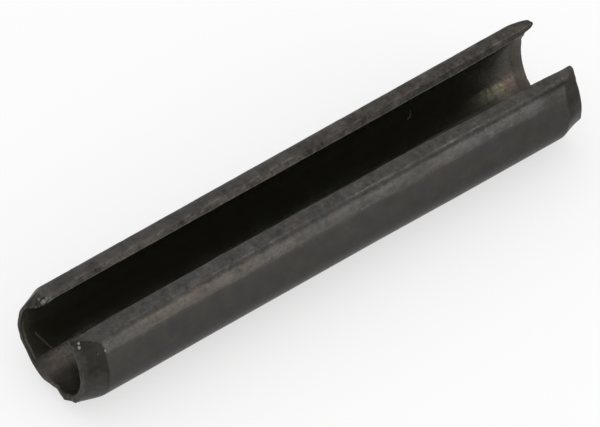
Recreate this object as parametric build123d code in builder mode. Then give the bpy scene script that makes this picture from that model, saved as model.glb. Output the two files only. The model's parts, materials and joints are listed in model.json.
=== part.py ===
"""Slotted spring pin, light type, nominal 6 x 32 mm.

One strip of spring steel rolled into a tube that stays open along one side.
The pin lies along X with its slot facing up, and the origin is the middle of
its axis. All sizes are in millimetres.
"""
import os
from math import asin, cos, degrees, hypot, radians, sin

from build123d import *

# ---- driving dimensions -------------------------------------------------
pin_length = 32.0          # end face to end face
outer_diameter = 6.4       # free diameter, before the pin is driven into its hole
wall = 0.75                # strip thickness
taper_length = 1.15        # lead-in at each end, measured along the pin
taper_depth = 0.40         # how far the lead-in falls below the barrel
taper_round = 1.20         # soft shoulder where the barrel turns into the lead-in
rim_round = 0.06           # round along the outline of each end face

slot_gap = 2.85            # clear width between the two lips, at the bore
mouth_width = 4.50         # width across the eased outer corners of the lips
lip_land = 0.27            # square part of each lip, measured out from the bore
ridge_round = 0.08         # round where the lip's easing meets the barrel
land_round = 0.10          # round where the easing meets the square part
lip_round = 0.08           # round on the lip's inner corner, at the bore

# ---- sizes that follow --------------------------------------------------
outer_radius = outer_diameter / 2
bore_radius = outer_radius - wall
land_radius = bore_radius + lip_land
end_radius = outer_radius - taper_depth
half_length = pin_length / 2
barrel_end = half_length - taper_length
lip_angle = degrees(asin(slot_gap / 2 / bore_radius))       # from the slot's middle
mouth_angle = degrees(asin(mouth_width / 2 / outer_radius))
cutter_top = outer_radius + wall                            # clear above the barrel


def section_point(radius, angle):
    """A point of the cross-section, its angle measured from the slot's middle."""
    return (radius * sin(radians(angle)), radius * cos(radians(angle)))


def off_axis(edge):
    """Distance of a lengthwise edge from the pin's axis."""
    return hypot(edge.center().Y, edge.center().Z)


with BuildPart() as spring_pin:
    # the wall with its two formed ends, turned round the pin's axis
    with BuildSketch(Plane.XZ) as wall_profile:
        with BuildLine():
            Polyline(
                (-half_length, bore_radius),
                (-half_length, end_radius),
                (-barrel_end, outer_radius),
                (barrel_end, outer_radius),
                (half_length, end_radius),
                (half_length, bore_radius),
                close=True,
            )
        make_face()
        fillet(vertices().group_by(Axis.Y)[-1], taper_round)
    revolve(axis=Axis.X)

    # the slot: square faces next to the bore, then eased out to a wide mouth
    with BuildSketch(Plane.YZ.offset(-half_length)) as slot_profile:
        with BuildLine():
            Polyline(
                (0, 0),
                section_point(bore_radius, lip_angle),
                section_point(land_radius, lip_angle),
                section_point(outer_radius, mouth_angle),
                (mouth_width / 2, cutter_top),
                (0, cutter_top),
                close=True,
            )
        make_face()
        fillet(vertices().sort_by_distance(section_point(land_radius, lip_angle))[0], land_round)
        mirror(about=Plane.YZ)
    extrude(amount=pin_length, mode=Mode.SUBTRACT)

    # the strip's edges are eased: each lip's inner corner, then its outer ridge
    fillet(edges().filter_by(Axis.X).group_by(off_axis)[0], lip_round)
    fillet(edges().filter_by(Axis.X).group_by(off_axis)[-1], ridge_round)

    # and so is the whole outline of both end faces
    end_faces = faces().filter_by(Axis.X)
    fillet(end_faces.edges(), rim_round)

spring_pin.part.label = "spring_pin"

os.makedirs("parts", exist_ok=True)
export_step(spring_pin.part, "parts/spring_pin.step")
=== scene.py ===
"""Looks of the slotted spring pin: worn dark steel with a thin film of rust and oxide.

The CAD node is a clean rolled tube. Here one dense mesh of the same form takes its place, with
what the real strip has: lips that wander along the slot, a softly rounded front edge with a
pressed crease, uneven end faces, a bevelled corner, a far tip that stands out and small burrs.

Sizes are in millimetres until a mesh is written. x runs along the pin, from the near end to the
far end. Angles of the section are in degrees from straight up, over the front: the slot is at
the top, with the front lip near 35 and the rear lip near 322, and 180 is at the bottom.
"""
import json
import math
from collections import namedtuple
from types import SimpleNamespace

import bmesh
import bpy
import numpy as np
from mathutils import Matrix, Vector


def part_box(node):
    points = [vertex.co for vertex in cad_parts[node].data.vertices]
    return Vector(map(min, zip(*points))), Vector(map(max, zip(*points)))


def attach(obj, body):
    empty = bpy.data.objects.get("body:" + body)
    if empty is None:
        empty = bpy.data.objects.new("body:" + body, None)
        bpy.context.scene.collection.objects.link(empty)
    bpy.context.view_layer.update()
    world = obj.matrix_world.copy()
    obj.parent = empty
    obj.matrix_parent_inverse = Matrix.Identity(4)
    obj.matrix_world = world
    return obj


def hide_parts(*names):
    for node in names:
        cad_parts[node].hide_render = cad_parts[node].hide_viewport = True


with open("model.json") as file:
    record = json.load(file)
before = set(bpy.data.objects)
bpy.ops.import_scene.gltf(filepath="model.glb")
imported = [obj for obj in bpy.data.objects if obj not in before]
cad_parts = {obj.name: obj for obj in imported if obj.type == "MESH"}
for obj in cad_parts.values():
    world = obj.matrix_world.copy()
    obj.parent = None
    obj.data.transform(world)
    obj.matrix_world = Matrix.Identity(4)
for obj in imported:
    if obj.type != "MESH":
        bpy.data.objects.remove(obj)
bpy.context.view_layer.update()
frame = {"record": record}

MM = 0.001
NODE = "spring_pin"
mounts = {mount["name"]: mount for mount in frame["record"]["mounts"]}

# ---- sizes from the frame, in millimetres ------------------------------------------------
low_corner, high_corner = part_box(NODE)
HALF_LENGTH = high_corner.x / MM
NEAR_END, FAR_END = -HALF_LENGTH, HALF_LENGTH
OUTER_RADIUS = mounts["barrel"]["dims"]["r_mm"]
BORE_RADIUS = mounts["bore"]["dims"]["r_mm"]
FLOOR_Z = low_corner.z / MM

# ---- the lead-ins and the lips, in millimetres and degrees -------------------------------
TAPER_DEPTH = 0.40
TAPER_LENGTH = 1.15
EDGE_SOFTNESS = 0.012        # how sharply the lead-ins and the bevel start
RIM_ROUND = 0.06
FRONT_DEPTH = 0.38           # how far the front lip's edge lies below the barrel
REAR_DEPTH = 0.41
REAR_SPAN = 12.5             # the angle over which the rear lip is eased
EASE_POWER = 1.5
REAR_LEAN = 1.2              # the rear cut face leans back by this angle at its top
CORNER_DROP = 0.05           # rounding of the lips' outer corners
CORNER_SPAN = 1.1
BORE_CORNER = 0.030          # and of the front lip's inner corner
BORE_CORNER_SPAN = 1.2
REAR_BURR = 0.060            # the rear lip's inner corner is pressed inward by this
REAR_BURR_SPAN = 2.6
RIDGE_HEIGHT = 0.012         # the crease is a low ridge with a shallow groove below it
GROOVE_DEPTH = 0.010
REAR_ROUGHNESS = 0.010
BARREL_WAVE = 0.0035
BORE_WAVE = 0.003
CONE_WAVE = 0.006
CONE_ARC = 0.056             # millimetres of a lead-in per degree
LAND_SWELL = 0.012           # how far a cut face bulges
THINNEST_WALL = 0.12

# ---- lines along the pin, as pairs of x and value ----------------------------------------
FRONT_LIP = (
    (NEAR_END, 35.4), (-14.9, 34.7), (-13, 34.1), (-8, 34.0), (-6.3, 33.4), (-4.5, 34.1), (0, 34.7),
    (3, 35.3), (5.4, 35.1), (8.7, 36.6), (11, 37.5), (13.6, 37.6), (FAR_END, 39.7),
)
REAR_LIP = ((NEAR_END, 322.0), (-12, 321.4), (0, 321.1), (12, 321.7), (FAR_END, 322.0))
CREASE = ((NEAR_END, 46.0), (0, 46.2), (FAR_END, 47.6))
# the angle over which the front lip is eased, and how far the barrel bulges low in front
FRONT_SPAN = ((NEAR_END, 18.0), (0, 17.5), (10, 15.5), (FAR_END, 12.5))
SAG = ((NEAR_END, 0.02), (-12, 0.02), (-8, 0.0), (3, 0.0), (8, 0.035), (FAR_END, 0.045))
BURR_SHARE = (
    (NEAR_END, 0.6), (-11, 0.7), (0, 0.9), (5, 1.0), (12.5, 1.0), (14.8, 0.2), (FAR_END, 0.0),
)

# ---- unevenness round an end, as rows of angle, width and height -------------------------
NEAR_FACE = (
    (262, 14, 0.065), (247, 18, 0.055), (180, 17, -0.05), (172, 9, -0.07), (165, 14, -0.05),
    (145, 9, -0.06), (155, 5, 0.07),
)
NEAR_TAPER = ((179, 19, 0.24), (302, 25, 0.07), (137, 25, -0.06))
FAR_FACE_BEHIND = ((5, 12, 0.13), (30, 18, -0.14))     # angles from the rear lip

# ---- the mesh's grid ---------------------------------------------------------------------
AROUND = 140                 # steps round the bore, and as many round the outside
LAND_STEPS = 6               # steps across each lip's cut face
END_STATIONS = 46
MIDDLE_STATIONS = 220
END_ZONE = 1.7
SEED = 7


# ---- small helpers -----------------------------------------------------------------------
def smooth_step(low, high, value):
    """0 at low, 1 at high, and a soft change between; low may be the larger of the two."""
    share = np.clip((np.asarray(value, float) - low) / (high - low), 0.0, 1.0)
    return share * share * (3.0 - 2.0 * share)


def window(rise, fall, value):
    """1 between two soft borders, each given as the places where it is 0 and 1."""
    return smooth_step(*rise, value) * smooth_step(*fall, value)


def bump_at(centre, width, value):
    """A soft bump of height 1 at centre, gone at about one width from it."""
    return np.exp(-(((np.asarray(value, float) - centre) / width * 1.7) ** 2))


def bumps(rows, value):
    """The sum of several bumps, from rows of centre, width and height."""
    return sum(height * bump_at(centre, width, value) for centre, width, height in rows)


def soft_min(a, b, softness):
    """The lower of two values, with a soft change from one to the other."""
    return 0.5 * (a + b - np.sqrt((a - b) ** 2 + softness ** 2))


def rounding(inward, depth, width):
    """Drop of a rounded rim: depth at the very end, nothing beyond width."""
    share = 1 - np.clip(inward / width, 0, 1)
    return depth * (1 - np.sqrt(1 - share * share))


def wander(value, spacing, seed):
    """Smooth seeded noise along one axis, between -1 and 1, with features of that spacing."""
    draws = np.random.default_rng(SEED * 1000 + seed).uniform(-1.0, 1.0, 4096)
    place = np.asarray(value, float) / spacing + 2048.0
    cell = np.floor(place).astype(int)
    share = place - cell
    share = share * share * (3.0 - 2.0 * share)
    return draws[cell % 4096] * (1.0 - share) + draws[(cell + 1) % 4096] * share


def mottle(u, v, spacing, seed):
    """Smooth seeded noise over two axes, between -1 and 1."""
    draws = np.random.default_rng(SEED * 2000 + seed).uniform(-1.0, 1.0, (256, 256))
    u = np.asarray(u, float) / spacing + 4096.0
    v = np.asarray(v, float) / spacing + 4096.0
    i, j = np.floor(u).astype(int), np.floor(v).astype(int)
    a, b = u - i, v - j
    a, b = a * a * (3.0 - 2.0 * a), b * b * (3.0 - 2.0 * b)
    i, j = i % 256, j % 256
    i1, j1 = (i + 1) % 256, (j + 1) % 256
    low = draws[i, j] * (1 - a) + draws[i1, j] * a
    high = draws[i, j1] * (1 - a) + draws[i1, j1] * a
    return low * (1 - b) + high * b


def along(x, line):
    """A value that changes smoothly along the pin, through the few pairs of a line."""
    places, values = np.array(line, float).T
    fine = np.linspace(NEAR_END - 1.0, FAR_END + 1.0, 681)
    rough = np.interp(fine, places, values)
    kernel = np.hanning(21)
    padded = np.pad(rough, 10, mode="edge")
    return np.interp(x, fine, np.convolve(padded, kernel / kernel.sum(), mode="valid"))


def polar(radius, angle):
    """Points of the cross-section as (y, z)."""
    turn = np.radians(angle)
    return np.stack([-radius * np.sin(turn), radius * np.cos(turn)], -1)


# ---- the lips and the crease, as angles at a place along the pin -------------------------
def front_lip(x):
    """Angle of the front lip: straight for most of the length, then opening to the far end."""
    return along(x, FRONT_LIP) + 0.22 * wander(x, 0.9, 1) + 0.16 * wander(x, 0.22, 3)


def rear_lip(x):
    """Angle of the rear lip, with a knob pushed into the slot where the near bevel starts."""
    knob = 2.6 * bump_at(NEAR_END + 0.64, 0.30, x)
    tip = 2.5 * (x > 0) * rounding(HALF_LENGTH - np.abs(x), 1.0, 0.40)
    line = along(x, REAR_LIP) + knob - tip
    return line + 0.25 * wander(x, 0.9, 2) + 0.22 * wander(x, 0.22, 4)


def crease_angle(x):
    """Where a pressed line runs along the rounded front edge."""
    return along(x, CREASE) + 0.25 * wander(x, 1.6, 5)


class Place:
    """Points of the outside or of the bore, with the measures that shapes and masks ask for."""

    def __init__(self, x, angle, radius, lean=0.0):
        self.x = x
        self.angle = angle
        self.near = x < 0
        self.far = x > 0
        self.inward = HALF_LENGTH - np.abs(x)           # distance from the nearer end
        self.arc = angle * math.radians(radius)         # the way round, in millimetres
        self.from_front = angle - front_lip(x)          # degrees from either lip
        self.from_rear = rear_lip(x) - lean - angle


def outside_place(x, angle):
    """Places on the outside."""
    return Place(x, angle, OUTER_RADIUS, REAR_LEAN)


def bore_place(x, angle):
    """Places in the bore."""
    return Place(x, angle, BORE_RADIUS)


# ---- the end faces: how far they stand out (+) or are torn back (-) ----------------------
def near_shift(angle):
    """The near face stands out behind and is torn back below."""
    return bumps(NEAR_FACE, angle) + 0.010 * wander(angle, 5.0, 21) + 0.006 * wander(angle, 1.6, 22)


def far_shift(angle, x):
    """The far face slants, reaches furthest at the rear lip's tip and is torn into fingers there."""
    from_rear = rear_lip(x) - angle
    slant = np.clip(0.235 - 0.0034 * from_rear, -0.09, 1.0) * smooth_step(175, 215, angle)
    lumps = bumps(FAR_FACE_BEHIND, from_rear) + 0.08 * bump_at(113, 12, angle)
    fingers = 0.05 * wander(angle, 2.6, 23) * smooth_step(300, 312, angle)
    front = 0.03 - 0.05 * smooth_step(52, 59, angle)
    front = front * smooth_step(120, 90, angle)
    return slant + lumps + fingers + front + 0.008 * wander(angle, 2.2, 24)


def end_stretch(x, angle):
    """How far a point near an end moves outward along the pin with its uneven end face."""
    inward = HALF_LENGTH - np.abs(x)
    near = -near_shift(angle) * np.exp(-((inward / 0.45) ** 2))
    far = far_shift(angle, x) * np.exp(-((inward / 0.80) ** 2))
    return np.where(x < 0, near, far)


# ---- the lead-ins ------------------------------------------------------------------------
def cone_radius(place, length, depth, swell, seed):
    """Radius of a lead-in with a slight swell between its start and its end."""
    reach = np.clip(place.inward / length, 0, 1)
    uneven = CONE_WAVE * mottle(place.x, place.angle * CONE_ARC, 0.45, seed)
    return OUTER_RADIUS - depth * (1 - place.inward / length) + swell * np.sin(np.pi * reach) + uneven


def near_cone(place):
    """The near lead-in: longer in front and below, ground thin below, with a lump on its rim."""
    angle = place.angle
    below = smooth_step(300, 220, angle) * (1 - 0.25 * bump_at(135, 30, angle))
    swell = 0.020 * smooth_step(295, 270, angle)
    depth = TAPER_DEPTH + bumps(NEAR_TAPER, angle)
    lump = 0.045 * bump_at(134, 7, angle) * bump_at(0.0, 0.16, place.inward)
    return cone_radius(place, TAPER_LENGTH + 0.31 * below, depth, swell, 31) + lump


def far_cone(place):
    """The far lead-in: shorter and shallower at both lips, and shallower low in front."""
    angle = place.angle
    tip = smooth_step(30, 8, place.from_rear)
    length = TAPER_LENGTH - 0.35 * tip - 0.36 * smooth_step(72, 40, angle)
    depth = TAPER_DEPTH - 0.17 * tip - 0.10 * bump_at(110, 45, angle) - 0.13 * smooth_step(54, 43, angle)
    swell = 0.012 - 0.042 * bump_at(125, 40, angle) + 0.012 * tip
    return cone_radius(place, length, depth, swell, 32)


def near_bevel(place):
    """A bevel through the whole wall at the near end of the rear lip."""
    width = 9.0
    beyond = np.clip(place.from_rear - width, 0, None)
    slope = 0.55 + 0.020 * np.clip(place.from_rear, 0, width) + 0.04 * beyond ** 2
    return BORE_RADIUS + 0.03 + 0.036 * beyond + slope * place.inward


def end_cone(place):
    """Radius of both lead-ins, uneven as tumbled ends are."""
    near = soft_min(near_cone(place), near_bevel(place), EDGE_SOFTNESS)
    return np.where(place.near, near, far_cone(place))


# ---- the outside and the bore ------------------------------------------------------------
def plain_radius(place):
    """Radius of the outside without its lead-ins: barrel, lip easings, crease, unevenness."""
    x, angle = place.x, place.angle
    front_ease = np.clip(1 - place.from_front / along(x, FRONT_SPAN), 0, 1) ** EASE_POWER
    rear_ease = np.clip(1 - place.from_rear / REAR_SPAN, 0, 1) ** EASE_POWER
    radius = OUTER_RADIUS - FRONT_DEPTH * front_ease - REAR_DEPTH * rear_ease
    crease = crease_angle(x)
    ridge = RIDGE_HEIGHT * bump_at(crease, 1.0, angle) * (0.7 + 0.3 * wander(x, 0.6, 6))
    groove = GROOVE_DEPTH * bump_at(crease + 2.5, 1.6, angle)
    radius = radius + smooth_step(0.5, 1.6, place.inward) * (ridge - groove)
    fringe = REAR_ROUGHNESS * bump_at(9.0, 8.0, place.from_rear)
    radius = radius + fringe * (mottle(x, place.arc, 0.14, 12) + wander(x, 0.35, 13))
    return radius + BARREL_WAVE * mottle(x, place.arc, 1.3, 11)


def outer_radius(place):
    """Radius of the outside, with its lead-ins, its slight sag and the rounding of its edges."""
    radius = soft_min(plain_radius(place), end_cone(place), EDGE_SOFTNESS)
    corners = np.exp(-place.from_front / CORNER_SPAN) + np.exp(-place.from_rear / CORNER_SPAN)
    sag = along(place.x, SAG) * smooth_step(0.2, 1.3, place.inward) * bump_at(126, 50, place.angle)
    tip = place.far * smooth_step(30, 8, place.from_rear)
    rim_round = RIM_ROUND * (1 + 1.2 * tip)
    radius = radius - CORNER_DROP * corners + sag - rounding(place.inward, rim_round, rim_round)
    return np.maximum(radius, BORE_RADIUS + THINNEST_WALL)


def near_mouth(place):
    """How much the bore opens at the near end: rounded low down, flared above."""
    above = smooth_step(250, 268, place.angle)
    side = bump_at(270, 70, place.angle)
    rounded = rounding(place.inward, 0.08 + 0.03 * side, 0.24 + 0.26 * side)
    flared = 0.09 * (1 - np.clip(place.inward / 0.8, 0, 1)) ** 2
    return rounded * (1 - above) + flared * above


def far_mouth(place):
    """The same at the far end: pressed a little inward, but opened wide at the rear tip."""
    inward = place.inward
    tip = smooth_step(26, 6, place.from_rear)
    flare = 0.22 * np.clip(1 - inward / 0.85, 0, 1) + 0.05 * np.clip(1 - inward / 2.4, 0, 1)
    pressed = 0.085 * np.clip(1 - inward / 0.72, 0, 1)
    return rounding(inward, 0.03 + 0.16 * tip, 0.10 + 0.25 * tip) + tip * flare - pressed


def inner_radius(place):
    """Radius of the bore, with its mouths, the front lip's corner and the rear lip's burr."""
    x = place.x
    burr = REAR_BURR * along(x, BURR_SHARE) + 0.075 * bump_at(NEAR_END + 0.98, 0.36, x)
    corners = BORE_CORNER * np.exp(-place.from_front / BORE_CORNER_SPAN)
    corners = corners - burr * np.exp(-place.from_rear / REAR_BURR_SPAN)
    mouth = np.where(place.near, near_mouth(place), far_mouth(place))
    return BORE_RADIUS + corners + mouth + BORE_WAVE * mottle(x, place.arc, 1.1, 14)


# ---- worn and rusty places, with painted light and shade, as masks from 0 to 1 -----------
# Of the masks, the first is bright worn metal together with painted highlights, sheen and light; the third
# is a yellow tint together with the painted light of a patch low in the far bore; the fourth is oxide
# together with painted shade.
MASKS = ("wear", "rust", "gilt", "dark", "rough", "inside", "tint")
NO_CAST = 0.5                # tint: lower is cooler, higher is warmer

# how far the finish has changed to the far end's, and how strong some places are along the pin
TO_FAR = ((NEAR_END, 0), (-4, 0.1), (4, 0.5), (9, 0.9), (FAR_END, 1.0))
CREASE_SHINE = (
    (NEAR_END, 0.35), (-6, 0.5), (2, 0.95), (7, 1.25), (11.2, 1.25), (12.2, 0.7), (14.2, 0.35), (FAR_END, 0),
)
RUBBED_LOW_EDGE = ((NEAR_END, 60.2), (-4, 61.0), (6, 62.6), (FAR_END, 63.4))
# How bright the rubbed zone is painted along the pin: partly worn metal, partly a painted highlight where
# the low box is reflected.
RUBBED_WEAR_AND_HIGHLIGHT = (
    (NEAR_END, 0), (-14.6, 0.1), (-12, 0.55), (-9, 0.9), (-5.5, 0.8), (0, 0.5), (6, 0.6), (10, 0.95),
    (11.2, 1.2), (12.2, 1.1), (13.2, 0.6), (14.2, 0.05), (FAR_END, 0),
)
# Painted shade in the groove below the crease, stronger towards the far end.
GROOVE_DARK = ((NEAR_END, 0.08), (-12, 0), (-6, 0), (0, 0.2), (5, 0.46), (10, 0.56), (FAR_END, 0.6))
LAND_DARK = ((NEAR_END, 0.16), (-6, 0.18), (3, 0.36), (8, 0.58), (12, 0.60), (FAR_END, 0.62))
DULL_NEAR_LIP = ((NEAR_END, 0), (-15, 1), (-12, 1), (-10.5, 0), (FAR_END, 0))


def outside_zones(place):
    """The zones of the outside that its masks are made of."""
    x, angle = place.x, place.angle
    crease = crease_angle(x)
    gap = plain_radius(place) - end_cone(place)
    cone = smooth_step(0.0, 0.03, gap)
    low_edge = along(x, RUBBED_LOW_EDGE) + 0.7 * wander(x, 0.8, 47)
    return SimpleNamespace(
        crease=crease,
        gap=gap,                                                    # how deep a lead-in cuts in
        cone=cone,                                                  # the lead-ins
        barrel=1 - cone,                                            # all but the lead-ins
        strip=smooth_step(3.0, 1.0, angle - crease) * (1 - cone),   # front lip to crease
        band=smooth_step(15.0, 10.0, place.from_rear),              # beside the rear lip
        rim=smooth_step(0.12, 0.0, place.inward),
        rubbed=window((47, 51), (low_edge + 3.2, low_edge - 3.0), angle) * (1 - cone),
        bevel=place.near * cone * smooth_step(15.0, 8.0, place.from_rear),
        to_far=along(x, TO_FAR),
        pink=bump_at(-8.5, 6.5, x),                                 # a warmer stretch
        speckle=mottle(x, place.arc, 0.20, 41),
        patches=mottle(x, place.arc, 0.75, 42),
    )


def outside_wear_and_light(place, zones):
    """Bright from being worn: the crease, the lips' edges, the rubbed zone, rims and steps; also painted
    highlights on the rubbed zone and the far lead-in, and a painted reflection low in front.
    """
    x, angle = place.x, place.angle
    speckled = np.clip(zones.speckle, 0, 1)
    line = bump_at(zones.crease, 0.9, angle) * zones.barrel * (0.55 + 0.45 * wander(x, 0.45, 43))
    wear = 0.65 * line * along(x, CREASE_SHINE)
    wear = wear + 0.30 * np.exp(-place.from_rear / 0.9) * np.clip(wander(x, 0.5, 44), 0, 1)
    wear = wear + 0.10 * np.exp(-place.from_front / 0.9) + 0.12 * zones.rim
    wear = wear + (0.10 * zones.strip + 0.07 * zones.band) * speckled + 0.04 * zones.strip

    # The rubbed zone is brightened: partly worn metal, partly a painted highlight.
    glow = along(x, RUBBED_WEAR_AND_HIGHLIGHT)
    shine = (0.10 * glow + 0.03 * zones.pink) * (0.75 + 0.55 * zones.patches) + 0.05 * glow * zones.speckle
    wear = wear + zones.rubbed * np.clip(shine, 0, 1)
    # Painted reflection of the floor: a faint brighter band low on the front of the barrel.
    wear = wear + 0.045 * window((93, 109), (165, 125), angle)

    step = bump_at(0.045, 0.05, -zones.gap) * bump_at(58, 9, angle)
    wear = wear + (0.06 * place.near + 0.05 * place.far) * step
    # Painted highlight on the far lead-in: a brighter patch low down and a bright line along its rim.
    far_rim = 0.30 * bump_at(103, 14, angle) + 0.22 * zones.rim * bump_at(88, 22, angle)
    wear = wear + place.far * zones.cone * far_rim
    wear = wear + 0.07 * zones.to_far * zones.band * mottle(x, place.arc, 0.30, 48)
    return wear * (1 - 0.8 * zones.bevel)


def near_facet_oxide_and_shade(place, zones):
    """The near lead-in's oxide and painted shade: lighter along the rim, darker further in, most so high in
    front.
    """
    angle, inward = place.angle, place.inward
    facet = inward + 0.06 * wander(place.arc, 0.5, 45) + 0.16 * smooth_step(62, 88, angle)
    facet = smooth_step(0.12, 0.62, facet)
    streaks = wander(place.arc + 0.7 * inward, 0.16, 46)
    low = smooth_step(62, 98, angle)
    # Partly oxide, partly painted shade, as if the lead-in reflected darker surroundings.
    dark = (0.40 * (1 - 0.7 * low) + (0.85 - 0.65 * low) * facet) * (1 + 0.18 * streaks)
    dark = dark * (1 - 0.7 * smooth_step(200, 260, angle))
    blotch = 0.30 * bump_at(61, 5, angle) * bump_at(1.14, 0.26, inward)
    return place.near * zones.cone * (dark + blotch)


def outside_dark(place, zones, facet_oxide_and_shade):
    """Dark with oxide on the lead-ins and the far end of the lips, with painted shade on the near lead-in
    and in the groove below the crease.
    """
    x, angle, inward, gap = place.x, place.angle, place.inward, zones.gap
    light_streak = zones.cone * bump_at(54, 7, angle) * bump_at(0.075, 0.06, gap)
    end_line = bump_at(0.035, 0.035, gap) * window((60, 74), (120, 100), angle)
    corner = bump_at(39, 6, angle) * smooth_step(0.22, 0.10, inward)
    dark = facet_oxide_and_shade + place.near * (0.38 * end_line + 0.6 * corner - 0.22 * light_streak)

    # The far lead-in is darker, less so low down, where it is painted as lit.
    low = smooth_step(70, 86, angle) * (0.45 + 0.5 * smooth_step(0.9, 0.2, inward))
    dark = dark + 0.66 * place.far * zones.cone * smooth_step(0.06, 0.22, inward) * (1 - low)

    to_far = zones.to_far
    # Painted shade along the groove below the crease, wider towards the far end.
    groove = bump_at(zones.crease + 2.8 + 1.7 * to_far, 2.0 + 2.0 * to_far, angle) * zones.barrel
    dark = dark + groove * along(x, GROOVE_DARK)
    dark = dark + 0.12 * np.exp(-place.from_front / 2.2) + 0.45 * zones.rubbed * smooth_step(13.1, 14.0, x)
    dark = dark + to_far * (0.18 * window((63, 68), (320, 300), angle) + 0.36 * zones.band)
    return np.maximum(dark, 0.90 * zones.bevel)


def paint_outside(x, angle):
    """Where the outside is bright from wear, rusty, dark with oxide, rough, warm or cool."""
    place = outside_place(x, angle)
    zones = outside_zones(place)
    band, strip, rubbed, bevel = zones.band, zones.strip, zones.rubbed, zones.bevel
    to_far, pink, patches, speckle = zones.to_far, zones.pink, zones.patches, zones.speckle
    facet_oxide_and_shade = near_facet_oxide_and_shade(place, zones)

    rust = band * (0.30 + 0.30 * patches + 0.30 * to_far) + 0.7 * bevel
    rust = rust + 0.10 * strip * np.clip(patches, 0, 1) + 0.25 * facet_oxide_and_shade
    rust = rust + 0.15 * rubbed * pink * (0.6 + 0.4 * speckle)
    rust = rust + 0.6 * bump_at(FAR_END - 0.5, 0.55, x) * smooth_step(12, 8, place.from_front)

    rough = (0.30 + 0.60 * to_far) * band + (0.42 - 0.10 * to_far) * rubbed
    rough = rough + 0.42 * strip + 0.30 * zones.cone + 0.4 * zones.rim
    rough = rough + 0.22 * window((98, 112), (175, 140), angle) * zones.barrel

    tint = NO_CAST + rubbed * (0.50 * pink * (0.8 + 0.4 * speckle) - 0.14 * to_far * (1 + 0.5 * patches))
    tint = tint + 0.35 * bevel - 0.16 * strip * (1 - to_far) - 0.10 * band * (1 - 2 * to_far)

    nothing = np.zeros_like(angle)
    return {
        "wear": outside_wear_and_light(place, zones), "rust": rust, "gilt": nothing,
        "dark": outside_dark(place, zones, facet_oxide_and_shade), "rough": rough, "inside": nothing, "tint": tint,
    }


def bore_zones(place):
    """The zones of the bore: a mottled film low in the near mouth, a greyer one at the far end."""
    x, angle, inward = place.x, place.angle, place.inward
    edge = 219.5 + 0.8 * wander(x, 0.5, 54)
    softness = 1.2 + 14.0 * smooth_step(2.1, 4.0, inward)
    low_film = place.near * smooth_step(edge + softness, edge - softness, angle)
    near_film = low_film * smooth_step(5.0, 1.7, inward + 0.5 * wander(angle, 14.0, 60))
    near_film = near_film * smooth_step(70, 130, angle)
    raised = 3.0 * smooth_step(0.5, 1.0, inward)
    lit_film = near_film * smooth_step(186, 196, angle - raised) * smooth_step(0.15, 0.85, inward)

    far_reach = 4.4 - 0.9 * smooth_step(230, 290, angle) + 0.5 * wander(angle, 9.0, 55)
    far_reach = far_reach + 0.8 * bump_at(259, 16, angle) - 0.5 * bump_at(241, 8, angle)
    far_film = place.far * smooth_step(1, 0, (inward - 1.0) / far_reach) * smooth_step(150, 215, angle)

    return SimpleNamespace(
        above_film=place.near * (1 - low_film),
        near_film=near_film,
        lit_film=lit_film,                                  # the part of it that catches the light
        pinkish=lit_film * smooth_step(0.7, 1.1, inward),
        far_film=far_film,
        deep=smooth_step(0.6, 1.5, inward) * (1 - far_film),
        rim=smooth_step(0.22, 0.0, inward) + np.zeros_like(angle),
        patches=0.5 + 0.5 * mottle(x, place.arc, 0.32, 51),
        spots=0.5 + 0.5 * mottle(x, place.arc, 0.20, 53),
        streaks=wander(place.arc + 0.05 * x, 0.075, 56) * (0.6 + 0.4 * wander(x, 0.5, 57)),
    )


def olive_mouth(place, zones):
    """An olive shade above the near film, strongest along the upper rim."""
    angle, inward = place.angle, place.inward
    low = smooth_step(1.7, 0.8, inward) * smooth_step(252, 226, angle)
    side = np.maximum(low, smooth_step(0.55, 0.0, inward)) * smooth_step(0.05, 0.35, inward)
    upper = 1.9 * smooth_step(0.60, 0.05, inward)
    return zones.above_film * np.where(angle < 262, side, upper)


def lit_patch(place, zones):
    """The painted light of a yellow patch low in the far end, brightest at its top: the patch, the pinkish
    stain on it and the dark band below.
    """
    x, angle, inward = place.x, place.angle, place.inward
    top = 237.6 + 0.5 * wander(x, 0.25, 58)
    bottom = 219.5 + 2.0 * smooth_step(1.4, 2.2, inward) + 0.8 * wander(x, 0.4, 59)
    patch = place.far * smooth_step(top + 0.8, top - 0.8, angle)

    gilt = patch * smooth_step(0.55, 0.85, inward) * smooth_step(185, 212, angle)
    gilt = gilt * (0.36 * smooth_step(3.7, 2.2, inward) + 0.42 * bump_at(1.50, 0.60, inward))
    gilt = gilt * (0.38 + 0.62 * smooth_step(bottom - 1.5, bottom + 11.0, angle))
    gilt = gilt * (0.40 + 0.85 * zones.spots)
    # Painted highlight along the patch's top.
    bright_top = place.far * bump_at(top - 3.0, 3.2, angle) * bump_at(1.20, 0.95, inward)
    gilt = gilt + 0.95 * bright_top * (0.4 + 0.9 * zones.spots)

    stain = smooth_step(1.75, 1.15, inward + 0.35 * (zones.patches - 0.5)) * smooth_step(150, 200, angle)

    dark_band_top = bottom + 1.0 + 3.0 * smooth_step(4.5, 6.5, inward)
    dark_band = window((200, 214), (dark_band_top, bottom - 1.0), angle)
    dark_band = dark_band * window((1.6, 2.4), (14.0, 7.0), inward)
    return gilt, patch * stain, place.far * dark_band


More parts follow.
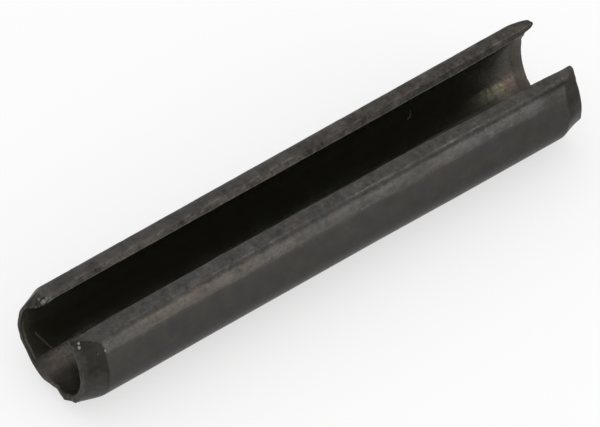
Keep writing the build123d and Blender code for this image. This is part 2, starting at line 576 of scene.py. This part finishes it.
def bore_wear_and_light(place, zones):
    """Bright places of the bore: the films and the mouth's rim, with painted light on the film's lit part,
    high in the far film and just inside the near end, and the deep bore's painted sheen.
    """
    angle, inward = place.angle, place.inward
    mottled = 0.09 + 0.10 * (zones.patches - 0.5) + 0.05 * zones.streaks
    # Painted light: the lit part of the near film is brightened, most in its upper part, which ends at a
    # sharp edge.
    bright_edge = 0.28 * smooth_step(0.7, 1.5, inward) * smooth_step(200, 208, angle)
    wear = 0.05 * zones.rim + zones.lit_film * (mottled + bright_edge) + 0.05 * zones.pinkish * zones.spots
    # Painted light high in the far film.
    wear = wear + 0.06 * zones.far_film * smooth_step(246, 262, angle)
    bottom = 0.21 * bump_at(178, 12, angle) * bump_at(0.95, 0.7, inward)
    bottom = bottom + 0.30 * bump_at(178, 14, angle) * smooth_step(0.65, 0.2, inward)
    wear = wear + zones.near_film * bottom

    # Painted light just inside the near end, above the film, fading inward.
    high_up = smooth_step(246, 266, angle)
    mouth = (0.24 + 0.05 * high_up) * window((0.05, 0.20), (0.72 + 0.48 * high_up, 0.27), inward)
    wear = wear + zones.above_film * mouth * (0.7 + 0.6 * zones.spots)
    # Painted sheen: the deep bore lighter near the rear lip and low in front.
    sheen = smooth_step(252, 262, angle) + smooth_step(237, 225, angle) * (1 - zones.near_film)
    return wear + 0.12 * zones.deep * sheen


def bore_dark(place, zones, dark_band):
    """Dark places of the bore: its rims, painted shade on the back wall and the dark band below the patch.
    """
    angle, inward = place.angle, place.inward
    dark = 0.30 * zones.rim * (1 - 0.8 * place.near * smooth_step(222, 240, angle))
    dark = dark + 0.90 * place.near * smooth_step(205, 225, angle) * smooth_step(0.25, 0.0, inward)
    dark = dark + 0.15 * place.far * bump_at(0.30, 0.24, inward) * bump_at(230, 10, angle)
    # Painted shade on the deep bore's back wall, and the darker band below the patch.
    return dark + 0.40 * zones.deep * bump_at(245, 20, angle) + 0.8 * dark_band


def paint_bore(x, angle):
    """The bore: dark and smooth, with a rusty film where each end lets the damp in."""
    place = bore_place(x, angle)
    zones = bore_zones(place)
    near_film, lit_film, far_film, patches = zones.near_film, zones.lit_film, zones.far_film, zones.patches
    gilt, stain, dark_band = lit_patch(place, zones)

    rust = near_film * (0.28 + 0.30 * patches) + 0.15 * lit_film
    rust = rust + far_film * (0.25 + 0.30 * patches) + 0.5 * stain
    tint = NO_CAST + zones.pinkish * (0.10 + 0.30 * patches) + 0.12 * stain
    tint = tint - 0.10 * lit_film * smooth_step(1.0, 0.4, place.inward)
    inside = (1 - 0.5 * zones.rim) * (1 - 0.8 * np.maximum(near_film, far_film))
    inside = inside * (0.5 + 0.5 * smooth_step(170, 212, angle))
    rough = 0.6 * zones.rim + 0.25 * far_film + 0.20 * near_film + 0.40 * lit_film + 0.4 * gilt
    return {
        "wear": bore_wear_and_light(place, zones), "rust": rust, "gilt": gilt + 0.20 * olive_mouth(place, zones),
        "dark": bore_dark(place, zones, dark_band), "rough": rough, "inside": inside, "tint": tint,
    }


def paint_land(x, from_bore, seed, knob=0.0, far_dark=0.0):
    """A lip's cut face: rough, brownish, darker towards the far end; from_bore goes from 0 to 1."""
    patches = mottle(x, from_bore * 0.4, 0.28, seed)
    bore_edge = np.exp(-from_bore / 0.25)
    far_dark = far_dark * smooth_step(2.0, 7.0, x)
    dark = along(x, LAND_DARK) + 0.12 * bore_edge + far_dark * (0.7 + 0.3 * patches)
    wear = 0.04 + 0.11 * np.clip(patches, 0, 1)
    wear = wear + 0.07 * bore_edge * np.clip(wander(x, 0.35, seed + 10), 0, 1)
    wear = wear * (1 - 1.5 * far_dark) - 0.05 * along(x, DULL_NEAR_LIP) * bore_edge
    wear = wear + knob * bump_at(NEAR_END + 0.95, 0.30, x) * np.exp(-from_bore / 0.6)
    nothing = np.zeros_like(patches)
    return {
        "wear": wear, "rust": 0.40 + 0.25 * patches, "gilt": nothing, "dark": dark,
        "rough": nothing + 1, "inside": nothing, "tint": nothing + 0.55,
    }


def paint_rim(points):
    """The end faces: rough grey-green metal."""
    y, z = points[:, 1], points[:, 2]
    angle = np.degrees(np.arctan2(-y, z))
    patches = mottle(angle * 0.05, y * 1.7, 0.22, 61)
    nothing = np.zeros_like(patches)
    return {
        "wear": 0.04 + 0.06 * patches, "rust": 0.15 + 0.15 * patches, "gilt": nothing + 0.04,
        "dark": 0.40 + 0.16 * patches, "rough": nothing + 0.8, "inside": nothing + 0.5,
        "tint": nothing + 0.45,
    }


# ---- the pin's mesh ----------------------------------------------------------------------
def stations():
    """Places along the pin, much closer together at the two formed ends."""
    inward = END_ZONE * np.linspace(0.0, 1.0, END_STATIONS) ** 1.35
    near = NEAR_END + inward
    far = FAR_END - inward[::-1]
    middle = np.linspace(near[-1], far[0], MIDDLE_STATIONS)
    return np.concatenate([near, middle[1:-1], far])


def lip_spread(first, last):
    """Angles from first to last: ten times denser at both lips, three times low behind."""
    share = np.linspace(0.0, 1.0, 2001)
    density = 1 + 9 * (np.exp(-share / 0.03) + np.exp((share - 1) / 0.03)) + 2 * bump_at(0.67, 0.09, share)
    count = np.concatenate([[0.0], np.cumsum(density[1:] + density[:-1])])
    place = np.interp(np.linspace(0.0, count[-1], AROUND + 1), count, share)
    return first + (last - first) * place[None, :]


def surface(x, angle, radius):
    """Points (x, y, z) of the outside or the bore."""
    points = np.empty(angle.shape + (3,))
    points[..., 0] = x + end_stretch(x, angle)
    points[..., 1:] = polar(radius, angle)
    return points


def land(x, first, last, seed):
    """Points across a cut face, between two rows of points, without those rows."""
    share = np.linspace(0.0, 1.0, LAND_STEPS + 1)[1:-1]
    points = first[:, None] * (1 - share[None, :, None]) + last[:, None] * share[None, :, None]
    uneven = 0.4 + wander(x + 0 * share[None, :], 0.3, seed)
    points[..., 2] += LAND_SWELL * np.sin(np.pi * share)[None, :] * uneven
    return points


def build_pin():
    """The whole pin as one closed mesh: points, quads and the masks at each point."""
    x = stations()[:, None]
    bore_angle = lip_spread(front_lip(x), rear_lip(x))
    outer_angle = lip_spread(front_lip(x), rear_lip(x) - REAR_LEAN)[:, ::-1]
    bore = surface(x, bore_angle, inner_radius(bore_place(x, bore_angle)))
    outside = surface(x, outer_angle, outer_radius(outside_place(x, outer_angle)))
    rear_land = land(x, bore[:, -1], outside[:, 0], 71)
    front_land = land(x, outside[:, -1], bore[:, 0], 72)
    points = np.concatenate([bore, rear_land, outside, front_land], axis=1)

    share = np.linspace(0.0, 1.0, LAND_STEPS + 1)[None, 1:-1]
    painted = (
        paint_bore(x, bore_angle),
        paint_land(x, share, 73, knob=0.40, far_dark=0.32),
        paint_outside(x, outer_angle),
        paint_land(x, 1 - share, 74),
    )
    masks = {name: np.concatenate([part[name] for part in painted], axis=1) for name in MASKS}

    count, size = points.shape[:2]
    index = np.arange(count * size).reshape(count, size)
    after = np.roll(index, -1, axis=1)
    quads = [np.stack([index[:-1], after[:-1], after[1:], index[1:]], -1).reshape(-1, 4)]
    vertices = [points.reshape(-1, 3)]
    values = {name: [masks[name].reshape(-1)] for name in MASKS}
    total = count * size
    for end in (0, count - 1):
        inside, cap_quads = cap(points[end], index[end], total, flip=end == 0)
        rim = paint_rim(inside)
        vertices.append(inside)
        quads.append(cap_quads)
        for name in MASKS:
            values[name].append(rim[name])
        total += len(inside)
    values = {name: np.clip(np.concatenate(values[name]), 0, 1) for name in MASKS}
    return np.concatenate(vertices), np.concatenate(quads), values


def cap(ring, ring_index, first_new, flip):
    """Fills one end face with a grid that uses the ring's own points on its border."""
    side = LAND_STEPS - 1
    inner = np.arange(0, AROUND + 1)
    right = np.arange(AROUND + 1, AROUND + 1 + side)
    outer = np.arange(AROUND + 1 + side, 2 * (AROUND + 1) + side)[::-1]
    left = np.arange(2 * (AROUND + 1) + side, len(ring))[::-1]
    rows, columns = side + 2, AROUND + 1
    grid = np.full((rows, columns), -1)
    grid[0], grid[-1] = ring_index[inner], ring_index[outer]
    grid[1:-1, 0], grid[1:-1, -1] = ring_index[left], ring_index[right]
    share = np.linspace(0, 1, rows)[:, None, None]
    inside = ring[inner][None] * (1 - share) + ring[outer][None] * share
    inside = inside[1:-1, 1:-1].reshape(-1, 3)
    inside[:, 0] += 0.010 * mottle(inside[:, 1], inside[:, 2], 0.14, 62)
    grid[1:-1, 1:-1] = first_new + np.arange(len(inside)).reshape(rows - 2, columns - 2)
    quads = np.stack([grid[:-1, :-1], grid[:-1, 1:], grid[1:, 1:], grid[1:, :-1]], -1).reshape(-1, 4)
    if not flip:
        quads = quads[:, ::-1]
    return inside, quads


def finish_mesh(mesh, name, masks):
    """Smooth shading and the masks as point attributes; returns the object, linked in."""
    for mask_name, values in masks.items():
        layer = mesh.attributes.new(mask_name, "FLOAT", "POINT")
        layer.data.foreach_set("value", np.asarray(values, dtype=np.float32))
    mesh.polygons.foreach_set("use_smooth", [True] * len(mesh.polygons))
    mesh.update()
    thing = bpy.data.objects.new(name, mesh)
    bpy.context.scene.collection.objects.link(thing)
    return thing


def make_pin(name):
    """The pin's mesh as an object."""
    vertices, quads, masks = build_pin()
    mesh = bpy.data.meshes.new(name)
    mesh.from_pydata((vertices * MM).tolist(), [], quads.tolist())
    mesh.validate()
    return finish_mesh(mesh, name, masks)


# ---- burrs and scratches, as small lumps -------------------------------------------------
# inward is the distance from the near end, radius the height from the axis
Lump = namedtuple("Lump", "inward angle radius length width thickness brightness")

BURRS = (
    Lump(0.34, 41.4, 2.93, 0.19, 0.17, 0.14, 1.0),      # bright crumbs at the front lip's near corner
    Lump(0.26, 45.4, 2.98, 0.20, 0.21, 0.15, 1.0),
    Lump(0.29, 43.5, 2.93, 0.08, 0.12, 0.08, 0.5),
    Lump(1.42, 59.2, 3.21, 0.15, 0.18, 0.14, 1.0),      # where the near lead-in starts
    Lump(1.00, 59.0, 3.13, 0.12, 0.16, 0.04, 0.0),
    Lump(1.78, 55.7, 3.18, 0.16, 0.12, 0.07, 0.15),
    Lump(0.50, 323.8, 2.75, 0.15, 0.14, 0.22, 1.0),     # the torn knob of the rear lip
    Lump(0.70, 325.4, 2.56, 0.40, 0.20, 0.34, 0.60),
    Lump(0.88, 324.6, 2.60, 0.26, 0.12, 0.30, 0.30),
    Lump(0.40, 325.2, 2.46, 0.24, 0.12, 0.10, 0.15),
    Lump(0.21, 323.6, 2.49, 0.17, 0.12, 0.14, 0.20),
    Lump(0.05, 322.4, 2.57, 0.14, 0.10, 0.12, 0.15),
    Lump(0.10, 252.3, 2.60, 0.10, 0.11, 0.08, 0.25),    # crumbs round the near end face
    Lump(0.02, 143.0, 2.52, 0.12, 0.12, 0.10, 0.8),
    Lump(0.03, 155.5, 2.74, 0.12, 0.12, 0.09, 0.25),
    Lump(0.12, 167.5, 2.60, 0.11, 0.11, 0.09, 0.7),
    Lump(0.12, 129.5, 2.87, 0.13, 0.11, 0.08, 0.8),
    Lump(-0.01, 79.0, 2.66, 0.10, 0.11, 0.08, 0.7),
)
SCRATCH_RADIUS = BORE_RADIUS - 0.01     # so that a scratch stands just proud of the bore


def slanting_scratch():
    """One raised scratch in the near mouth, as a slanting row of thin overlapping lumps."""
    lumps = []
    for i in range(12):
        lumps.append(Lump(
            inward=0.70 + 0.048 * i,
            angle=246.5 - 2.4 * i,
            radius=SCRATCH_RADIUS,
            length=0.09,
            width=0.20,
            thickness=0.05,
            brightness=0.10 + 0.008 * i,
        ))
    return tuple(lumps)


def curved_mark():
    """A small curved mark far down the bore, as a row of thin overlapping lumps."""
    lumps = []
    for share in np.linspace(0.0, 1.0, 6):
        turn = math.radians(-30 + 110 * share)
        lumps.append(Lump(
            inward=24.66 + 0.21 * math.cos(turn),
            angle=260.5 - 6.8 * math.sin(turn),
            radius=SCRATCH_RADIUS,
            length=0.08 + 0.09 * share,
            width=0.15 - 0.05 * share,
            thickness=0.05,
            brightness=0.04 + 0.36 * math.sqrt(share),
        ))
    return tuple(lumps)


def make_lumps(name, lumps):
    """Small rounded crumbs of torn metal that stand on the edges, in one mesh."""
    shape = bmesh.new()
    draws = np.random.default_rng(SEED + 90)
    brightness = []
    for lump in lumps:
        ball = bmesh.ops.create_icosphere(shape, subdivisions=2, radius=0.5)["verts"]
        centre = np.append(NEAR_END + lump.inward, polar(lump.radius, lump.angle))
        outward = np.append(0.0, polar(1.0, lump.angle))
        aside = np.cross(outward, (1.0, 0.0, 0.0))
        waves = draws.uniform(-1, 1, (3, 3)) * 5
        for vertex in ball:
            place = np.array(vertex.co)
            place = place * (1 + 0.10 * np.sin(waves @ place).sum())
            moved = centre + place[1] * lump.width * aside + place[2] * lump.thickness * outward
            moved[0] += place[0] * lump.length
            vertex.co = Vector(moved * MM)
        brightness += [lump.brightness] * len(ball)
    mesh = bpy.data.meshes.new(name)
    shape.to_mesh(mesh)
    shape.free()
    plain = {"rust": 0.2, "gilt": 0.0, "dark": 0.0, "rough": 0.6, "inside": 0.0, "tint": NO_CAST}
    masks = {mask_name: [value] * len(mesh.vertices) for mask_name, value in plain.items()}
    return finish_mesh(mesh, name, {"wear": brightness, **masks})


# ---- materials ---------------------------------------------------------------------------
def add_node(tree, kind, inputs=None, **settings):
    """A node with its settings made; inputs are plain values or sockets to link."""
    node = tree.nodes.new(kind)
    for name, value in settings.items():
        setattr(node, name, value)
    for name, value in (inputs or {}).items():
        socket = node.inputs[name]
        if isinstance(value, bpy.types.NodeSocket):
            tree.links.new(value, socket)
        else:
            socket.default_value = value
    return node


def maths(tree, operation, first, second, clamp=False):
    """One operation on two values or sockets."""
    node = add_node(tree, "ShaderNodeMath", {0: first, 1: second}, operation=operation, use_clamp=clamp)
    return node.outputs[0]


def times(tree, first, second):
    """The product of two values or sockets."""
    return maths(tree, "MULTIPLY", first, second)


def plus(tree, first, second):
    """The sum of two values or sockets."""
    return maths(tree, "ADD", first, second)


def minus(tree, first, second):
    """The first value or socket less the second."""
    return maths(tree, "SUBTRACT", first, second)


def mixed(tree, share, low, high):
    """A colour from low to high."""
    return add_node(tree, "ShaderNodeMix", {0: share, 6: low, 7: high}, data_type="RGBA").outputs[2]


def mask(tree, name):
    """The value of a mask at each point of the surface."""
    return add_node(tree, "ShaderNodeAttribute", attribute_name=name).outputs["Fac"]


def noise(tree, place, scale, detail=3.0, stretch=None):
    """Noise from 0 to 1 with about that many features a millimetre."""
    if stretch is not None:
        place = add_node(tree, "ShaderNodeMapping", {"Vector": place, "Scale": stretch}).outputs[0]
    inputs = {"Vector": place, "Scale": scale, "Detail": detail, "Roughness": 0.55}
    return add_node(tree, "ShaderNodeTexNoise", inputs).outputs["Fac"]


def ramp(tree, value, low, high, out_low=0.0, out_high=1.0):
    """value brought from low..high to out_low..out_high, and held there beyond."""
    inputs = {"Value": value, "From Min": low, "From Max": high, "To Min": out_low, "To Max": out_high}
    return add_node(tree, "ShaderNodeMapRange", inputs, clamp=True).outputs[0]


STEEL = (0.0560, 0.0550, 0.0505, 1)
STEEL_COOL = (0.0535, 0.0545, 0.0555, 1)
STEEL_WARM = (0.0600, 0.0540, 0.0455, 1)
PINKISH = (0.0800, 0.0580, 0.0510, 1)
OLIVE = (0.0500, 0.0530, 0.0400, 1)
# Dark oxide, also the colour of the painted shade.
OXIDE_AND_SHADE = (0.0240, 0.0230, 0.0190, 1)
RUST = (0.0720, 0.0610, 0.0510, 1)
# The yellow of the painted light on the patch in the far bore, also a yellow tint elsewhere; the second
# colour is for where a pinkish stain lies on it.
YELLOW_TINT_AND_PATCH_LIGHT = (0.2300, 0.2150, 0.1250, 1)
PINK_TINT_AND_PATCH_LIGHT = (0.1500, 0.1120, 0.0880, 1)
BORE_OLIVE = (0.0500, 0.0520, 0.0330, 1)
# Bright worn metal, also the colour of the painted highlights, sheen and light.
BRIGHT = (0.2400, 0.2350, 0.2200, 1)
CAST_COOL = (0.93, 0.98, 1.08, 1)
CAST_WARM = (1.12, 1.00, 0.90, 1)
SPECULAR_TINT = (0.54, 0.54, 0.54, 1)
SMOOTH_GLOSS, ROUGH_GLOSS = 0.24, 0.46     # the shader's roughness where the mask is 0 and 1
BARE_METAL = 0.90            # how metallic the steel is without rust
RELIEF_DEPTH = 0.030         # millimetres
PAPER = (0.97, 0.97, 0.97, 1)
PAPER_LIFT = 0.6             # the share of plain white in what the camera sees


def steel_noises(tree):
    """The noises that the steel's colour, tone, gloss and relief share."""
    place = add_node(tree, "ShaderNodeTexCoord").outputs["Object"]
    place = add_node(tree, "ShaderNodeMapping", {"Vector": place, "Scale": (1 / MM,) * 3}).outputs[0]
    return SimpleNamespace(
        clouds=noise(tree, place, 0.9, 4.0),
        hue=noise(tree, place, 1.3, 3.0),
        spots=noise(tree, place, 3.2, 2.0),
        spot_hue=noise(tree, place, 4.6, 2.0),
        grain=noise(tree, place, 7.0, 4.0),
        pits=noise(tree, place, 16.0, 4.0),
        streaks=noise(tree, place, 9.0, 3.0, (0.06, 1.0, 1.0)),
    )


def steel_colour(tree, masks, noises, rusty):
    """Bare steel with pinkish and olive spots, then rust, a yellow tint with painted patch light, oxide with
    painted shade, and bright worn metal with painted highlights over it.
    """
    colour = mixed(tree, ramp(tree, noises.hue, 0.35, 0.65), STEEL_COOL, STEEL_WARM)
    colour = mixed(tree, 0.55, colour, STEEL)
    pink_spots = ramp(tree, noises.spot_hue, 0.52, 0.66, 0.0, 0.8)
    olive_spots = ramp(tree, noises.spot_hue, 0.48, 0.36, 0.0, 0.8)
    colour = mixed(tree, times(tree, masks.rough, pink_spots), colour, PINKISH)
    colour = mixed(tree, times(tree, masks.rough, olive_spots), colour, OLIVE)
    colour = mixed(tree, masks.inside, colour, BORE_OLIVE)
    colour = mixed(tree, rusty, colour, RUST)
    # The far bore's painted patch light, and a yellow tint.
    yellow_and_lit_share = times(tree, masks.gilt, ramp(tree, noises.spot_hue, 0.36, 0.62, 0.35, 1.25))
    colour = mixed(tree, yellow_and_lit_share, colour, mixed(tree, ramp(tree, masks.rust, 0.45, 0.8), YELLOW_TINT_AND_PATCH_LIGHT, PINK_TINT_AND_PATCH_LIGHT))
    colour = mixed(tree, masks.dark, colour, OXIDE_AND_SHADE)
    # Bright worn metal, with the painted highlights, sheen and light.
    worn = times(tree, masks.wear, ramp(tree, noises.grain, 0.30, 0.70, 0.4, 1.2))
    return mixed(tree, worn, colour, BRIGHT)


def steel_tone(tree, masks, noises, lines):
    """The tone varies a little everywhere, more where the surface is rough, and in lines where not."""
    swing = plus(tree, times(tree, masks.rough, 0.60), 0.08)
    fine = plus(tree, times(tree, noises.grain, 0.7), times(tree, noises.spots, 1.3))
    tone = plus(tree, plus(tree, noises.clouds, fine), lines)
    tone = times(tree, minus(tree, tone, 1.5), swing)
    tone = plus(tree, times(tree, tone, 2.0), ramp(tree, noises.clouds, 0.3, 0.7, 0.93, 1.07))
    return maths(tree, "MAXIMUM", tone, 0.4)


def steel_relief(tree, masks, noises, lines):
    """Fine pits where the surface is rough, and faint lines where it is smooth."""
    pits = plus(tree, noises.pits, times(tree, noises.spots, 1.6))
    pits = times(tree, pits, ramp(tree, masks.rough, 0.0, 1.0, 0.10, 1.0))
    relief = plus(tree, pits, times(tree, lines, 0.25))
    inputs = {"Height": relief, "Strength": 0.8, "Distance": RELIEF_DEPTH * MM}
    return add_node(tree, "ShaderNodeBump", inputs).outputs[0]


def steel_material():
    """Dark spring steel: smooth oxide on the barrel, rough and browner on the cut faces."""
    material = bpy.data.materials.new("dark_spring_steel")
    material.use_nodes = True
    tree = material.node_tree
    shader = tree.nodes["Principled BSDF"]
    masks = SimpleNamespace(**{name: mask(tree, name) for name in MASKS})
    noises = steel_noises(tree)
    rusty = times(tree, masks.rust, ramp(tree, noises.clouds, 0.35, 0.65, 0.6, 1.0))
    smooth = maths(tree, "SUBTRACT", 1.0, masks.rough, clamp=True)
    lines = times(tree, minus(tree, noises.streaks, 0.5), smooth)

    colour = steel_colour(tree, masks, noises, rusty)
    cast = mixed(tree, masks.tint, CAST_COOL, CAST_WARM)
    colour = add_node(tree, "ShaderNodeVectorMath", {0: colour, 1: cast}, operation="MULTIPLY").outputs[0]
    tone = steel_tone(tree, masks, noises, lines)
    shade = add_node(tree, "ShaderNodeVectorMath", {0: colour, "Scale": tone}, operation="SCALE").outputs[0]
    tree.links.new(shade, shader.inputs["Base Color"])

    gloss = ramp(tree, masks.rough, 0.0, 1.0, SMOOTH_GLOSS, ROUGH_GLOSS)
    gloss = plus(tree, gloss, ramp(tree, noises.clouds, 0.3, 0.7, -0.03, 0.04))
    gloss = minus(tree, gloss, times(tree, masks.inside, 0.06))
    tree.links.new(gloss, shader.inputs["Roughness"])
    metal = minus(tree, BARE_METAL, times(tree, rusty, 0.55))
    metal = minus(tree, metal, times(tree, masks.inside, 0.14))
    tree.links.new(metal, shader.inputs["Metallic"])
    shader.inputs["Specular Tint"].default_value = SPECULAR_TINT
    tree.links.new(steel_relief(tree, masks, noises, lines), shader.inputs["Normal"])
    return material


def floor_material():
    """White paper. To the camera and in reflections it is lifted towards plain white."""
    material = bpy.data.materials.new("floor_white")
    material.use_nodes = True
    tree = material.node_tree
    shader = tree.nodes["Principled BSDF"]
    shader.inputs["Base Color"].default_value = PAPER
    shader.inputs["Roughness"].default_value = 1.0
    shader.inputs["Specular IOR Level"].default_value = 0.0
    white = add_node(tree, "ShaderNodeEmission", {"Strength": 1.0})
    path = add_node(tree, "ShaderNodeLightPath")
    seen = plus(tree, path.outputs["Is Camera Ray"], path.outputs["Is Glossy Ray"])
    seen = maths(tree, "ADD", seen, path.outputs["Is Transmission Ray"], clamp=True)
    share = times(tree, seen, PAPER_LIFT)
    both = add_node(tree, "ShaderNodeMixShader", {0: share, 1: shader.outputs[0], 2: white.outputs[0]})
    tree.links.new(both.outputs[0], tree.nodes["Material Output"].inputs["Surface"])
    return material


# ---- stage, light and camera -------------------------------------------------------------
PHOTO_WIDTH = 600            # pixels
PIXELS_PER_MM = 19.51
CAMERA_AZIMUTH = -37.1       # degrees
CAMERA_ELEVATION = 47.8
CAMERA_DISTANCE = 0.9        # metres
MIDDLE_RIGHT = 1.36          # pixels from the picture's centre to the pin's middle
MIDDLE_UP = 1.45
FLOOR_SIZE = 6.0             # metres
ROOM_LIGHT = 0.95
ROOM_LIFT = 0.035            # the room is this much brighter to the camera


def direction(azimuth, elevation):
    """From the pin towards a light or the camera, by angles in degrees."""
    a, e = math.radians(azimuth), math.radians(elevation)
    return Vector((math.sin(a) * math.cos(e), -math.cos(a) * math.cos(e), math.sin(e)))


def add_floor():
    """The paper that the pin lies on."""
    bpy.ops.mesh.primitive_plane_add(size=FLOOR_SIZE, location=(0, 0, FLOOR_Z * MM))
    floor = bpy.context.object
    floor.name = "floor"
    floor.data.materials.append(floor_material())


def area_light(name, back, distance, width, height, radiance):
    """A soft box that faces the pin from that side, as bright as radiance."""
    data = bpy.data.lights.new(name, "AREA")
    data.shape = "RECTANGLE"
    data.size, data.size_y = width, height
    data.energy = radiance * math.pi * width * height
    lamp = bpy.data.objects.new(name, data)
    lamp.location = back * distance
    lamp.rotation_euler = back.to_track_quat("Z", "Y").to_euler()
    bpy.context.scene.collection.objects.link(lamp)


def add_light():
    """One low soft box in front, which lights the rubbed zone, in an even pale room."""
    area_light("low_box", direction(25.0, 19.3), distance=0.6, width=0.55, height=0.23, radiance=1.5)
    world = bpy.data.worlds.new("soft_room")
    world.use_nodes = True
    tree = world.node_tree
    background = tree.nodes["Background"]
    background.inputs["Color"].default_value = (1, 1, 1, 1)
    path = add_node(tree, "ShaderNodeLightPath")
    strength = plus(tree, times(tree, path.outputs["Is Camera Ray"], ROOM_LIFT), ROOM_LIGHT)
    tree.links.new(strength, background.inputs["Strength"])
    bpy.context.scene.world = world


def add_camera():
    """A long lens at the viewing angle, aimed so that the pin lies where it does in the picture."""
    back = direction(CAMERA_AZIMUTH, CAMERA_ELEVATION)
    right = Vector((0, 0, 1)).cross(back).normalized()
    up = back.cross(right)
    aim = -(right * MIDDLE_RIGHT + up * MIDDLE_UP) / PIXELS_PER_MM * MM
    data = bpy.data.cameras.new("camera")
    view_width = PHOTO_WIDTH / PIXELS_PER_MM * MM
    data.sensor_width = 36.0
    data.lens = data.sensor_width * CAMERA_DISTANCE / view_width
    data.clip_start, data.clip_end = 0.1, 100.0
    camera = bpy.data.objects.new("camera", data)
    camera.location = aim + back * CAMERA_DISTANCE
    camera.rotation_euler = back.to_track_quat("Z", "Y").to_euler()
    bpy.context.scene.collection.objects.link(camera)
    bpy.context.scene.camera = camera


steel = steel_material()

pin = make_pin("spring_pin_steel")
pin.data.materials.append(steel)
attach(pin, "root")
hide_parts(NODE)

burrs = make_lumps("edge_burrs", BURRS + slanting_scratch() + curved_mark())
burrs.data.materials.append(steel)
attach(burrs, "root")

add_floor()
add_light()
add_camera()
bpy.context.scene.view_settings.view_transform = "Standard"
